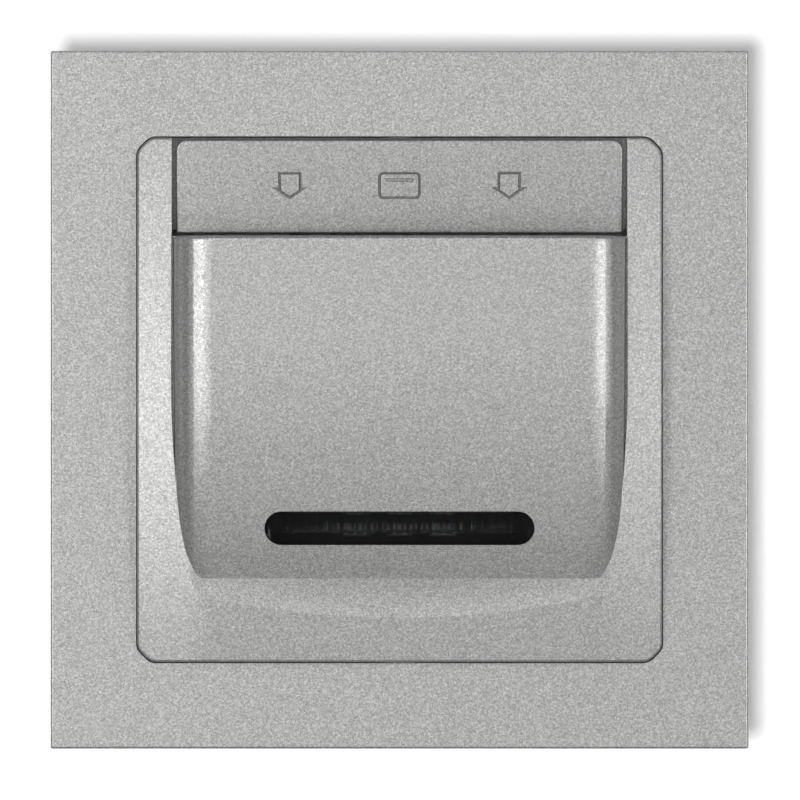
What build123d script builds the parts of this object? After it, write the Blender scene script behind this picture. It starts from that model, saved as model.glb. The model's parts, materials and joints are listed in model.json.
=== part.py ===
from build123d import *

import os
from math import asin, cos, degrees, radians, sin, sqrt, tan

# Hotel key card switch on a square wall frame, in millimetres.
# X runs to the right, Z up and Y into the wall. The origin is the middle of the wall plane,
# half way between the two box screws. A "stand" is a distance out from the wall, so Y is
# minus the stand, and a "depth" is a distance into the wall box, along plus Y.

# What the switch is built around: the key card and the wall box
card_width = 54.0
card_thickness = 0.8
card_side_play = 0.65
card_face_play = 0.6
box_screw_pitch = 60.0

# Clearances that the pieces share
fit_gap = 0.1
running_gap = 0.06
motion_gap = 0.3
overrun = 1.0

# Cover frame
frame_border = 10.42
frame_stand = 9.0
frame_wall = 1.8
frame_skin = 1.8
frame_edge_round = 0.3
frame_lip_wall = 1.4
frame_ledge_reach = 1.9
frame_ledge_thickness = 1.4
frame_rib_thickness = 1.2
frame_rib_spread = 30.0

# Centre cover: skirt and crowned front
cheek_band = 4.27
cover_gap = 0.16
corner_cut = 1.6
corner_round = 1.8
skirt_wall = 1.8
cover_wall = 1.5
crown_stand = 12.6
crown_radius = 240.0
crown_bend_run = 10.0
crown_bend_radius = 40.0
cheek_slope = 6.0
crown_flank = 12.0
rim_round = 0.35
screw_relief_radius = 4.8
screw_relief_height = 1.9

# Card pocket, the bulge of the centre cover
pocket_stand = 16.1
pocket_side_run = 4.85
pocket_crown_radius = 7.0
pocket_crown_slope = 18.0
pocket_side_radius = 3.43
pocket_side_slope = 84.0
pocket_flank = 3.0
pocket_top_z = 19.9
pocket_straight = 12.6
pocket_foot_z = -21.7
pocket_mouth_round = 0.5
cheek_step_depth = 0.8
cheek_step_bend_z = 2.0
cheek_step_foot_z = -14.0
cheek_step_bend_radius = 131.0
cheek_edge_round = 0.12

# Shallow scoop under the pocket
scoop_radius = 105.0
scoop_low_z = -24.1
scoop_width = 5.0
scoop_depth = 0.17

# Plane that the card's back slides on, which the header plate's face lies in
card_tilt = 5.0
card_stand = 9.2
slot_sight = 0.35
card_stop_z = -21.0

# Header plate above the slot
header_top_gap = 0.34
header_side_gap = 0.45
header_thickness = 1.6
header_corner_round = 1.3
header_edge_round = 0.25
header_peg_radius = 1.2
header_peg_spread = 36.0
header_peg_rise = 6.0
header_floor_thickness = 1.4
header_floor_rise = 0.35
header_groove_depth = 1.0
header_groove_lap = 0.3
header_notch_stand = 5.5
cheek_wall = 1.3

# Indicator window, its lens and the ribbed light guide behind it
window_end_room = 6.4
window_height = 4.1
window_z = -15.6
lens_recess = 0.25
lens_flange_reach = 0.9
lens_flange_thickness = 0.7
guide_bar_inset = 2.5
guide_bar_height = 2.4
guide_bar_depth = 2.4
guide_rib_radius = 0.5
guide_rib_pitch = 1.2
guide_tab_length = 6.4
guide_tab_thickness = 1.0
pillar_inset = 3.8
pillar_radius = 1.6
pillar_height = 1.75
pillar_peg_radius = 0.6

# Card guide behind the pocket
guide_wall = 1.5
runner_height = 0.4
runner_width = 1.0
runner_inset = 5.65
runner_place_shares = (1 / 2, 1 / 4)
guide_rail_wall = 1.4
guide_foot_size = 4.0
guide_foot_inset = 2.65
guide_foot_spread_z = 34.0
guide_peg_radius = 1.5
nose_slot_width = 6.6
nose_slot_top_z = -1.2
nose_slot_foot_z = -12.2
latch_spread = 24.0
latch_width = 5.0
latch_reach = 2.0
latch_stand = 5.0
latch_height = 1.2

# Steel support plate
plate_room = 5.2
plate_thickness = 1.2
plate_corner_round = 4.0
plate_hole_radius = 1.9

# Housing that sits in the wall box
body_width = 44.0
body_height = 38.0
body_depth = 22.0
body_corner_round = 3.0
body_edge_round = 0.8
board_recess_width = 24.0
board_recess_top_z = 12.0
board_recess_foot_z = -17.2
board_recess_depth = 2.4
well_width = 14.0
well_top_z = 9.0
well_foot_z = -13.4
well_depth = 18.0
body_screw_spread_x = 36.0
body_screw_spread_z = 30.0
body_screw_radius = 1.1
body_screw_head_radius = 2.0
body_screw_head_height = 1.0
body_screw_length = 7.0

# Lid of the housing, standing in the opening of the support plate
lid_width = 24.6
lid_height = 35.0
lid_stand = 2.6
lid_wall = 1.6
lid_lip_depth = 1.0
lid_lip_wall = 1.0
lid_corner_round = 1.5
lid_window_half = 5.2
lid_window_top_z = 11.4
lid_window_foot_z = -12.6
lid_screw_spread = 20.0
lid_screw_z = 14.6
lid_screw_radius = 0.9
lid_screw_head_radius = 1.7
lid_screw_head_height = 0.9
lid_screw_length = 8.0

# Card lever, its pin and its spring
pivot_z = 8.0
pivot_stand = 4.1
pin_radius = 1.0
ear_radius = 1.8
ear_thickness = 1.6
ear_inner_half = 6.2
lever_boss_radius = 1.85
lever_half_width = 3.8
lever_arm_thickness = 1.5
lever_arm_foot_z = -11.4
lever_arm_lean = 0.75
nose_half_width = 2.8
nose_tip_z = -8.6
nose_top_z = -2.4
nose_height = 2.3
nose_tip_round = 0.7
pad_z = -3.0
pad_half_height = 0.7
pad_depth = 1.7
spring_wire_radius = 0.2
spring_coil_radius = 1.3
spring_turns = 5
spring_wire_sides = 6
spring_z = 2.4

# Snap switch behind the lever
case_half_width = 3.2
case_top_z = 7.4
case_foot_z = -12.6
case_front_depth = 1.7
case_depth = 10.0
case_wall = 0.8
plunger_half_width = 1.2
plunger_half_height = 1.1
blade_pivot_z = -10.3
blade_depth = 5.7
blade_thickness = 0.5
blade_half_width = 1.4
blade_top_z = 4.6
blade_knuckle_radius = 0.8
contact_radius = 1.0
contact_height = 0.5
contact_z = 3.2
terminal_thickness = 0.6
terminal_half_width = 1.3
terminal_reach = 3.0

# Circuit board with the locator lights
board_width = 23.0
board_pin_x = 10.9
board_pin_z = -14.6
board_pin_radius = 0.4
board_foot_z = -17.0
board_top_z = -13.7
board_thickness = 1.0
led_spread = 5.25
led_half_width = 1.6
led_half_height = 0.9
led_front_stand = 3.8
led_edge_round = 0.3
resistor_radius = 0.45
resistor_length = 2.0
resistor_x = 8.6

# Terminals at the back of the housing
terminal_x = 13.6
terminal_z = 12.4
clamp_width = 6.4
clamp_height = 6.4
clamp_depth = 7.0
clamp_back_wall = 2.6
clamp_wall = 1.0
clamp_mouth = 4.0
clamp_wire_room = 1.0
wire_hole_radius = 1.7
clamp_screw_radius = 1.4
clamp_screw_head_radius = 2.3
clamp_screw_head_height = 1.6
bus_thickness = 0.6
bus_width = 2.6

# Spreading claws, their screws, nuts and pins
claw_screw_x = 16.4
claw_screw_radius = 1.6
claw_head_radius = 2.9
claw_head_height = 1.9
claw_head_slot = 0.8
claw_screw_tail = 1.0
claw_arm = 3.8
claw_pivot_depth = 15.8
claw_thickness = 1.4
claw_half_width = 3.4
claw_front_depth = 4.0
claw_tooth = 1.6
claw_tooth_count = 3
claw_tooth_pitch = 1.7
claw_fork_reach = 3.0
claw_pin_radius = 1.0
claw_eye_wall = 0.8
claw_fork_play = 0.5
claw_pin_seat = 1.8
claw_recess_depth = 19.9
nut_half_width = 2.1
nut_thickness = 1.4
nut_saddle_radius = 1.4
nut_gap = 0.25

# Worked out from the sizes above
cheek_half = card_width / 2 + card_side_play
channel_depth = card_thickness + card_face_play
cover_size = 2 * (cheek_half + cheek_band)
aperture_size = cover_size + 2 * cover_gap
frame_size = aperture_size + 2 * frame_border
plate_size = frame_size - 2 * (frame_wall + plate_room)
crown_flat_half = cover_size / 2 - crown_bend_run
pocket_flat_half = cheek_half - pocket_side_run
runner_spread = 2 * (cheek_half - runner_inset)
guide_foot_spread_x = 2 * (cheek_half - guide_foot_inset)
window_length = 2 * (pocket_flat_half - window_end_room)
guide_bar_length = window_length - 2 * guide_bar_inset
pillar_spread = 2 * (pocket_flat_half - pillar_inset)
header_top_z = cover_size / 2 - header_top_gap
header_foot_z = pocket_top_z + slot_sight
skirt_inner_half = cover_size / 2 - skirt_wall
skirt_back_stand = plate_thickness + frame_ledge_thickness
curl_start_z = pocket_top_z - pocket_straight
foot_drop = pocket_stand - crown_stand + crown_radius - sqrt(crown_radius**2 - pocket_foot_z**2)
curl_run = curl_start_z - pocket_foot_z
curl_radius = (curl_run**2 + foot_drop**2) / (2 * foot_drop)
curl_angle = degrees(asin(curl_run / curl_radius))
window_angle = degrees(asin((curl_start_z - window_z) / curl_radius))
window_stand = pocket_stand - curl_radius * (1 - cos(radians(window_angle)))
guide_front = -runner_height
guide_back = guide_front - guide_wall
case_back_depth = case_front_depth + case_depth
clamp_mid_depth = body_depth - clamp_back_wall - clamp_depth / 2
claw_pivot_x = claw_screw_x + claw_arm

hanging = (Align.CENTER, Align.CENTER, Align.MAX)

# Plane of the card: its origin is at the header plate's lower edge and it looks out of the wall
card_plane = Plane(
    origin=(0, -card_stand, header_foot_z),
    x_dir=(1, 0, 0),
    z_dir=(0, -cos(radians(card_tilt)), -sin(radians(card_tilt))),
)

# Plane that touches the pocket at the middle of the window
window_plane = Plane(
    origin=(0, -window_stand, window_z),
    x_dir=(1, 0, 0),
    z_dir=(0, -cos(radians(window_angle)), -sin(radians(window_angle))),
)


def card_run(z):
    """Distance along the card plane from the header plate's lower edge to a height."""
    return (z - header_foot_z) / cos(radians(card_tilt))


def card_plane_stand(z, out=0):
    """How far the card plane, or a plane that far in front of it, stands out at a height."""
    return card_stand + (z - header_foot_z) * tan(radians(card_tilt)) + out / cos(radians(card_tilt))


def block(x_from, x_to, stand_from, stand_to, z_from, z_to):
    """Plain block between two places on each axis, with its depth given as stands."""
    size = (x_to - x_from, stand_to - stand_from, z_to - z_from)
    middle = ((x_from + x_to) / 2, -(stand_from + stand_to) / 2, (z_from + z_to) / 2)
    return Pos(*middle) * Box(*size)


def card_block(x_from, x_to, run_from, run_to, out_from, out_to):
    """Plain block measured along the card plane and outwards from it."""
    size = (x_to - x_from, run_to - run_from, out_to - out_from)
    middle = ((x_from + x_to) / 2, (run_from + run_to) / 2, (out_from + out_to) / 2)
    return card_plane * Pos(*middle) * Box(*size)


def window_block(x_from, x_to, rise_from, rise_to, out_from, out_to):
    """Plain block measured in the window's plane and outwards from it."""
    size = (x_to - x_from, rise_to - rise_from, out_to - out_from)
    middle = ((x_from + x_to) / 2, (rise_from + rise_to) / 2, (out_from + out_to) / 2)
    return window_plane * Pos(*middle) * Box(*size)


def peg(x, z, radius, stand_from, stand_to):
    """Round peg that points out of the wall."""
    height = stand_to - stand_from
    place = Pos(x, -(stand_from + stand_to) / 2, z) * Rot(X=90)
    return place * Cylinder(radius, height)


def cross_pin(x_from, x_to, stand, z, radius):
    """Round pin along X."""
    return Pos((x_from + x_to) / 2, -stand, z) * Rot(Y=90) * Cylinder(radius, x_to - x_from)


def soft_square(size, grow=0):
    """Square outline of the cover with cut and softened corners, moved out evenly by grow."""
    half = size / 2 + grow
    corner = corner_cut + (2 - sqrt(2)) * grow
    corners = [(half, half - corner), (half - corner, half)]
    corners += [(-half + corner, half), (-half, half - corner)]
    corners += [(-half, -half + corner), (-half + corner, -half)]
    corners += [(half - corner, -half), (half, -half + corner)]
    outline = make_face(Polyline(*corners, close=True))
    return fillet(outline.vertices(), corner_round)


def wall_prism(outline, stand_from, stand_to):
    """Outline drawn facing the room, given a thickness between two stands."""
    return extrude(Plane.XZ.offset(stand_from) * outline, stand_to - stand_from)


def crowned_section(flat_half, stand, bends, flank, floor, inset=0):
    """Section across a crowned skin seen from above: flat middle, bends, straight flanks, floor."""
    start = (flat_half, stand - inset)
    edges = [Line((0, -start[1]), (start[0], -start[1]))]
    across, out, lean = flat_half, stand, 0
    for radius, slope in bends:
        turn = radians(slope)
        middle = (across - radius * sin(lean), out - radius * cos(lean))
        points = []
        for angle in (lean, (lean + turn) / 2, turn):
            reach = radius - inset
            points.append((middle[0] + reach * sin(angle), -(middle[1] + reach * cos(angle))))
        edges.append(ThreePointArc(*points))
        across, out, lean = middle[0] + radius * sin(turn), middle[1] + radius * cos(turn), turn
    edge_x, edge_stand = across - inset * sin(lean), out - inset * cos(lean)
    end = (edge_x + flank * cos(lean), edge_stand - flank * sin(lean))
    edges.append(Line((edge_x, -edge_stand), (end[0], -end[1])))
    edges.append(Line((end[0], -end[1]), (end[0], -floor)))
    half = Wire([edge.edge() for edge in edges])
    other = mirror(half, Plane.YZ)
    base = Line((-end[0], -floor), (end[0], -floor))
    return Face(Wire(half.edges() + other.edges() + [base.edge()]))


crown_bends = [(crown_bend_radius, cheek_slope)]
pocket_bends = [(pocket_crown_radius, pocket_crown_slope), (pocket_side_radius, pocket_side_slope)]


def crown(inset, half_size, stand_from):
    """Crowned block of the centre cover, swept about an axis far behind the wall."""
    section = crowned_section(crown_flat_half, crown_stand, crown_bends, crown_flank, 0, inset)
    half_angle = degrees(asin(cover_size / crown_radius))
    axis = Axis((0, crown_radius - crown_stand, 0), (1, 0, 0))
    swept = revolve(section.rotate(axis, -half_angle), axis, 2 * half_angle)
    outline = soft_square(2 * half_size)
    return swept & wall_prism(outline, stand_from, crown_stand + overrun)


def pocket(inset, floor):
    """Bulge of the card pocket: straight above, curling back to the wall below."""
    section = crowned_section(pocket_flat_half, pocket_stand, pocket_bends, pocket_flank, floor, inset)
    section = section.moved(Location((0, 0, curl_start_z)))
    upright = extrude(section, pocket_straight, dir=(0, 0, 1))
    axis = Axis((0, curl_radius - pocket_stand, curl_start_z), (1, 0, 0))
    return upright + revolve(section, axis, curl_angle)


def scoop():
    """Ring that cuts the shallow crescent under the pocket."""
    section_radius = scoop_width**2 / (8 * scoop_depth)
    lean = asin(-scoop_low_z / crown_radius)
    surface_stand = crown_stand - crown_radius * (1 - cos(lean))
    ring_plane = Plane(
        origin=(0, -surface_stand, scoop_low_z),
        x_dir=(1, 0, 0),
        z_dir=(0, -cos(lean), -sin(lean)),
    )
    out = section_radius - scoop_depth
    ring = Pos(0, scoop_radius, out) * Torus(scoop_radius, section_radius)
    near = Box(cover_size, 2 * scoop_width, 2 * scoop_width)
    return ring_plane * (ring & near)


def outer_frame():
    outer = wall_prism(Rectangle(frame_size, frame_size), 0, frame_stand)
    outer = fillet(outer.edges().group_by(Axis.Y)[0] + outer.edges().filter_by(Axis.Y), frame_edge_round)
    aperture = soft_square(cover_size, cover_gap)
    opening = wall_prism(aperture, -overrun, frame_stand + overrun)
    lip_size = aperture_size + 2 * frame_lip_wall
    hollow_size = frame_size - 2 * frame_wall
    hollow = wall_prism(Rectangle(hollow_size, hollow_size), -overrun, frame_stand - frame_skin)
    hollow -= wall_prism(Rectangle(lip_size, lip_size), plate_thickness, frame_stand)
    shell = outer - hollow - opening
    ledge_size = aperture_size - 2 * frame_ledge_reach
    ledge = wall_prism(Rectangle(lip_size, lip_size), plate_thickness, skirt_back_stand)
    ledge -= wall_prism(Rectangle(ledge_size, ledge_size), 0, frame_stand)
    for x, z in box_screw_places():
        ledge -= peg(x, z, screw_relief_radius, 0, frame_stand)
    shell += ledge
    rib_run = (hollow_size - lip_size) / 2
    rib_middle = (hollow_size + lip_size) / 4
    level_rib = Rectangle(rib_run, frame_rib_thickness)
    upright_rib = Rectangle(frame_rib_thickness, rib_run)
    for side in (-1, 1):
        for place in (-frame_rib_spread / 2, frame_rib_spread / 2):
            ribs = Pos(side * rib_middle, place) * level_rib
            ribs += Pos(place, side * rib_middle) * upright_rib
            shell += wall_prism(ribs, plate_thickness, frame_stand - frame_skin)
    return shell


def box_screw_places():
    """Places of the wall box's screws, level and upright."""
    half = box_screw_pitch / 2
    return [(half, 0), (-half, 0), (0, half), (0, -half)]


def card_pocket_cover():
    crowned = crown(0, cover_size / 2, skirt_back_stand)
    rim = crowned.edges().filter_by(lambda edge: edge.center().Y < -frame_stand + overrun)
    rim = rim.filter_by(lambda edge: max(abs(edge.center().X), abs(edge.center().Z)) > skirt_inner_half)
    crowned = fillet(rim, rim_round)
    crowned -= scoop()
    crowned -= cheek_step() + header_recess()
    beside = crowned.edges().filter_by(lambda edge: abs(abs(edge.center().X) - cheek_half) < skirt_wall / 2)
    outermost = beside.filter_by(lambda edge: edge.length > cheek_step_depth).sort_by(Axis.Y)
    runs_each_side = 2
    crowned = fillet(outermost[: 2 * runs_each_side], cheek_edge_round)
    shell = crowned + pocket(0, pocket_stand - pocket_side_radius - pocket_flank)
    shell -= crown(cover_wall, skirt_inner_half, 0)
    shell -= pocket(cover_wall, skirt_back_stand)
    shell += header_seat()
    shell -= header_recess() + header_grooves()
    channel_top = card_run(pocket_top_z) + overrun
    channel_foot = card_run(card_stop_z)
    shell -= card_block(-cheek_half, cheek_half, channel_foot, channel_top, guide_back, channel_depth)
    mouth = shell.edges().filter_by(Axis.X).filter_by(
        lambda edge: edge.center().Z > pocket_top_z - fit_gap
        and edge.center().Z < pocket_top_z + fit_gap
        and edge.center().Y < -pocket_stand + fit_gap
    )
    shell = fillet(mouth, pocket_mouth_round)
    shell -= window_cut(0, cover_wall)
    for side in (-1, 1):
        root = window_plane * Pos(side * pillar_spread / 2, 0, -cover_wall / 2)
        shell += root * Cylinder(pillar_radius, pillar_height, align=hanging)
        peg_height = pillar_height + guide_tab_thickness + fit_gap
        shell += root * Cylinder(pillar_peg_radius, peg_height, align=hanging)
    for x, z in box_screw_places():
        shell -= peg(x, z, screw_relief_radius, 0, skirt_back_stand + screw_relief_height)
    for side in (-1, 1):
        for z in (-latch_spread / 2, latch_spread / 2):
            shell += latch(side, z)
    return shell


def latch(side, z):
    """Snap nub on the inside of the skirt, with a lead-in slope towards the wall."""
    root = skirt_inner_half + fit_gap
    tip = skirt_inner_half - latch_reach
    low, high = latch_stand, latch_stand + latch_height
    points = [(root, -low), (tip, latch_height / 2 - high), (tip, -high), (root, -high)]
    profile = make_face(Polyline(*points, close=True))
    nub = extrude(profile, latch_width / 2, both=True, dir=(0, 0, 1))
    nub = Pos(0, 0, z) * nub
    return nub if side > 0 else mirror(nub, Plane.YZ)


def cheek_step():
    """Shallow step between the cheeks that the pocket stands in, drawn in until the pocket hides it."""
    drop = cheek_step_bend_z - cheek_step_foot_z
    foot_half = cheek_half - cheek_step_bend_radius + sqrt(cheek_step_bend_radius**2 - drop**2)
    middle = cheek_half - cheek_step_bend_radius * (1 - cos(asin(drop / cheek_step_bend_radius / 2)))
    start, bend = (cheek_half, pocket_top_z), (cheek_half, cheek_step_bend_z)
    half_way = (middle, cheek_step_bend_z - drop / 2)
    foot = (foot_half, cheek_step_foot_z)
    side = [Line(start, bend), ThreePointArc(bend, half_way, foot)]
    other = [mirror(edge, Plane.YZ) for edge in side]
    ends = [Line((-cheek_half, pocket_top_z), start), Line((-foot_half, cheek_step_foot_z), foot)]
    outline = make_face(side + other + ends)
    return wall_prism(outline, 0, pocket_stand) - crown(cheek_step_depth, cover_size / 2, 0)


def header_recess():
    """Space above the slot that the header plate fills, open at its top."""
    far = cover_size
    face = card_block(-cheek_half, cheek_half, -far, far, -header_thickness, pocket_stand)
    return face & block(-far, far, 0, 2 * pocket_stand, pocket_top_z, far)


def header_grooves():
    """Grooves under the gaps at the sides and the top of the header plate."""
    lap_half = cheek_half - header_side_gap - header_groove_lap
    run = (header_floor_rise, card_run(header_top_z) + overrun)
    depth = (-header_thickness - header_groove_depth, pocket_stand)
    grooves = card_block(lap_half, cheek_half, *run, *depth)
    grooves += card_block(-cheek_half, -lap_half, *run, *depth)
    top = header_top_z - header_groove_lap
    return grooves + block(-cheek_half, cheek_half, header_notch_stand, 2 * pocket_stand, top, cover_size)


def header_seat():
    """Floor under the header plate and the inner walls of the cheeks beside it."""
    wall_half = cheek_half + cheek_wall
    run_top = card_run(cover_size / 2 - skirt_wall + fit_gap)
    run = (header_floor_rise, run_top)
    floor_back = -header_thickness - header_floor_thickness
    seat = card_block(-wall_half, wall_half, *run, floor_back, -header_thickness)
    for side in (-1, 1):
        inner, outer = sorted((side * cheek_half, side * wall_half))
        seat += card_block(inner, outer, *run, floor_back, pocket_stand - card_stand)
        hole = card_plane * Pos(side * header_peg_spread / 2, header_peg_rise, -header_thickness)
        seat -= hole * Cylinder(header_peg_radius + fit_gap, 2 * (header_floor_thickness + overrun))
    return seat & crown(cover_wall / 2, cover_size / 2 - skirt_wall / 2, 0)


def header_plate():
    half = cheek_half - header_side_gap
    top = card_run(header_top_z)
    outline = make_face(Polyline((-half, 0), (half, 0), (half, top), (-half, top), close=True))
    outline = fillet(outline.vertices().group_by(Axis.Y)[-1], header_corner_round)
    plate = extrude(card_plane.offset(-header_thickness) * outline, header_thickness)
    front = plate.faces().sort_by(Axis(card_plane.origin, card_plane.z_dir))[-1]
    plate = fillet(front.edges(), header_edge_round)
    for side in (-1, 1):
        root = card_plane * Pos(side * header_peg_spread / 2, header_peg_rise, -header_thickness)
        length = header_floor_thickness + fit_gap
        plate += root * Cylinder(header_peg_radius, length, align=hanging)
    return plate


def window_cut(grow, thickness):
    """Pill-shaped passage for the lens, square to the wall, larger all round by grow."""
    outline = SlotOverall(window_length + 2 * grow, window_height + 2 * grow)
    return wall_prism(Pos(0, window_z) * outline, pocket_stand / 2, pocket_stand + thickness)


def window_lens():
    floor = pocket_stand / 2
    seat_inset = cover_wall + fit_gap / 2
    back_inset = seat_inset + lens_flange_thickness
    pane = pocket(lens_recess, floor) - pocket(back_inset, floor - overrun)
    flange = pocket(seat_inset, floor) - pocket(back_inset, floor - overrun)
    pane = pane & window_cut(-fit_gap / 2, 0)
    flange = flange & window_cut(lens_flange_reach, 0)
    return pane + flange


def light_guide():
    """Clear bar with fine upright ribs on its front and a tab at each end."""
    rib_tops = -(cover_wall + lens_flange_thickness + 2 * fit_gap)
    bar_front = rib_tops - guide_rib_radius
    bar_back = bar_front - guide_bar_depth
    half, rise = guide_bar_length / 2, guide_bar_height / 2
    bar = window_block(-half, half, -rise, rise, bar_back, bar_front)
    count = int(guide_bar_length / guide_rib_pitch)
    for index in range(count):
        x = (index - (count - 1) / 2) * guide_rib_pitch
        rib = Pos(x, 0, bar_front) * Rot(X=90) * Cylinder(guide_rib_radius, guide_bar_height)
        bar += window_plane * rib
    tab_front = -(cover_wall / 2 + pillar_height)
    for side in (-1, 1):
        inner, outer = sorted((side * half, side * (half + guide_tab_length)))
        bar += window_block(inner, outer, -rise, rise, tab_front - guide_tab_thickness, tab_front)
        hole = window_plane * Pos(side * pillar_spread / 2, 0, tab_front)
        bar -= hole * Cylinder(pillar_peg_radius + fit_gap, 2 * (guide_tab_thickness + overrun))
    return bar


def card_guide():
    """Back wall, runners, rails and floor of the channel that the card slides in."""
    rail_outer = cheek_half + guide_rail_wall
    top = card_run(pocket_top_z - slot_sight)
    stop = card_run(card_stop_z)
    foot = stop - guide_wall
    guide = card_block(-rail_outer, rail_outer, foot, top, guide_back, guide_front)
    guide += card_block(-cheek_half, cheek_half, foot, stop, guide_back, channel_depth)
    for side in (-1, 1):
        guide += guide_rail(side)
        for share in runner_place_shares:
            middle = side * runner_spread * share
            runner = (middle - runner_width / 2, middle + runner_width / 2)
            guide += card_block(*runner, stop, top, guide_front - fit_gap, -fit_gap)
        for z in (-guide_foot_spread_z / 2, guide_foot_spread_z / 2):
            x = side * guide_foot_spread_x / 2
            reach = guide_foot_size / 2
            post = block(x - reach, x + reach, plate_thickness, card_stand, z - reach, z + reach)
            trim = (foot - overrun, top, guide_front - fit_gap, card_stand)
            post -= card_block(-cover_size, cover_size, *trim)
            guide += post + peg(x, z, guide_peg_radius, 0, plate_thickness + overrun)
        for z in (-latch_spread / 2, latch_spread / 2):
            reach = latch_width / 2 + fit_gap
            inner, outer = sorted((side * (cheek_half - overrun), side * (rail_outer + overrun)))
            low, high = latch_stand - fit_gap, latch_stand + latch_height + fit_gap
            guide -= block(inner, outer, low, high, z - reach, z + reach)
    half_slot = nose_slot_width / 2
    guide -= block(-half_slot, half_slot, 0, card_stand, nose_slot_foot_z, nose_slot_top_z)
    for place in (-led_spread, 0, led_spread):
        reach, rise = led_half_width + fit_gap, led_half_height + fit_gap
        guide -= block(place - reach, place + reach, 0, card_stand, window_z - rise, window_z + rise)
    return guide


def guide_rail(side):
    """Side wall of the card guide, from the support plate to just under the cover's skin."""
    inner, outer = sorted((side * cheek_half, side * (cheek_half + guide_rail_wall)))
    foot = card_stop_z - guide_wall
    rail = block(inner, outer, plate_thickness, crown_stand, foot, pocket_top_z - slot_sight)
    rail &= crown(cover_wall + fit_gap, cover_size / 2, 0)
    relief_top = skirt_back_stand + screw_relief_height
    return rail - peg(side * box_screw_pitch / 2, 0, screw_relief_radius, 0, relief_top)


def support_plate():
    outline = fillet(Rectangle(plate_size, plate_size).vertices(), plate_corner_round)
    opening = lid_width + 2 * fit_gap, lid_height + 2 * fit_gap
    outline -= fillet(Rectangle(*opening).vertices(), lid_corner_round)
    plate = wall_prism(outline, 0, plate_thickness)
    through = (-overrun, plate_thickness + overrun)
    for x, z in box_screw_places():
        plate -= peg(x, z, plate_hole_radius, *through)
    for side in (-1, 1):
        plate -= peg(side * claw_screw_x, 0, claw_screw_radius + running_gap, *through)
        for level in (-1, 1):
            x, z = side * body_screw_spread_x / 2, level * body_screw_spread_z / 2
            plate -= peg(x, z, body_screw_radius + running_gap, *through)
            x, z = side * guide_foot_spread_x / 2, level * guide_foot_spread_z / 2
            plate -= peg(x, z, guide_peg_radius + running_gap, *through)
    return plate


def terminal_places():
    """Places of the four wire terminals, with the side that each screw is reached from."""
    return [(x * terminal_x, z * terminal_z, z) for x in (-1, 1) for z in (-1, 1)]


def mechanism_body():
    outline = fillet(Rectangle(body_width, body_height).vertices(), body_corner_round)
    body = wall_prism(outline, -body_depth, 0)
    body = fillet(body.edges().group_by(Axis.Y)[-1], body_edge_round)
    half = board_recess_width / 2
    body -= block(-half, half, -board_recess_depth, overrun, board_recess_foot_z, board_recess_top_z)
    half = well_width / 2
    body -= block(-half, half, -well_depth, overrun, well_foot_z, well_top_z)
    for x, z, level in terminal_places():
        body -= clamp_pocket(x, z, level)
    for side in (-1, 1):
        body -= claw_recess(side)
        for level in (-1, 1):
            x, z = side * body_screw_spread_x / 2, level * body_screw_spread_z / 2
            body -= peg(x, z, body_screw_radius, plate_thickness - body_screw_length, overrun)
        x = side * lid_screw_spread / 2
        body -= peg(x, lid_screw_z, lid_screw_radius, lid_stand - lid_screw_length, overrun)
        reach = clamp_mid_depth
        body -= peg(side * board_pin_x, board_pin_z, board_pin_radius + running_gap, -reach, overrun)
    return body


def clamp_pocket(x, z, level):
    """Chamber of one terminal, its wire entry, its screwdriver way and its slot for the bus bar."""
    half_x, half_z = clamp_width / 2 + fit_gap, clamp_height / 2 + fit_gap
    near, far = clamp_mid_depth - clamp_depth / 2 - fit_gap, clamp_mid_depth + clamp_depth / 2 + fit_gap
    chamber = block(x - half_x, x + half_x, -far, -near, z - half_z, z + half_z)
    chamber += peg(x, z, wire_hole_radius, -body_depth - overrun, -near)
    reach = body_height / 2 - abs(z) + overrun
    driver = Cylinder(clamp_screw_head_radius + fit_gap, reach)
    driver = Pos(x, clamp_mid_depth, z + level * reach / 2) * driver
    side = 1 if x > 0 else -1
    inner, outer = sorted((side * (well_width / 2 - overrun), x - side * (half_x - overrun)))
    corridor_start = contact_z - contact_radius - bus_thickness - fit_gap
    corridor_near = case_back_depth
    corridor_far = corridor_near + bus_width + 2 * fit_gap
    reach = level * (abs(z) + bus_thickness)
    low, high = sorted((level * corridor_start, reach))
    corridor = block(inner, outer, -corridor_far, -corridor_near, low, high)
    return chamber + driver + corridor


def claw_recess(side):
    """Slot in the side of the housing where a claw, its nut and its screw work."""
    half = claw_half_width + motion_gap
    sweep_reach = sqrt((claw_arm + claw_fork_reach) ** 2 + (claw_thickness / 2) ** 2)
    inner = claw_pivot_x - sweep_reach - motion_gap
    inner, outer = sorted((side * inner, side * (body_width / 2 + overrun)))
    recess = block(inner, outer, -claw_recess_depth, motion_gap - claw_front_depth, -half, half)
    bore = claw_screw_radius + running_gap
    recess += peg(side * claw_screw_x, 0, bore, -claw_recess_depth - claw_screw_tail - fit_gap, overrun)
    pin_half = half + claw_pin_seat
    pin = Cylinder(claw_pin_radius + running_gap, 2 * pin_half)
    return recess + Pos(side * claw_pivot_x, claw_pivot_depth, 0) * pin


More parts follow.
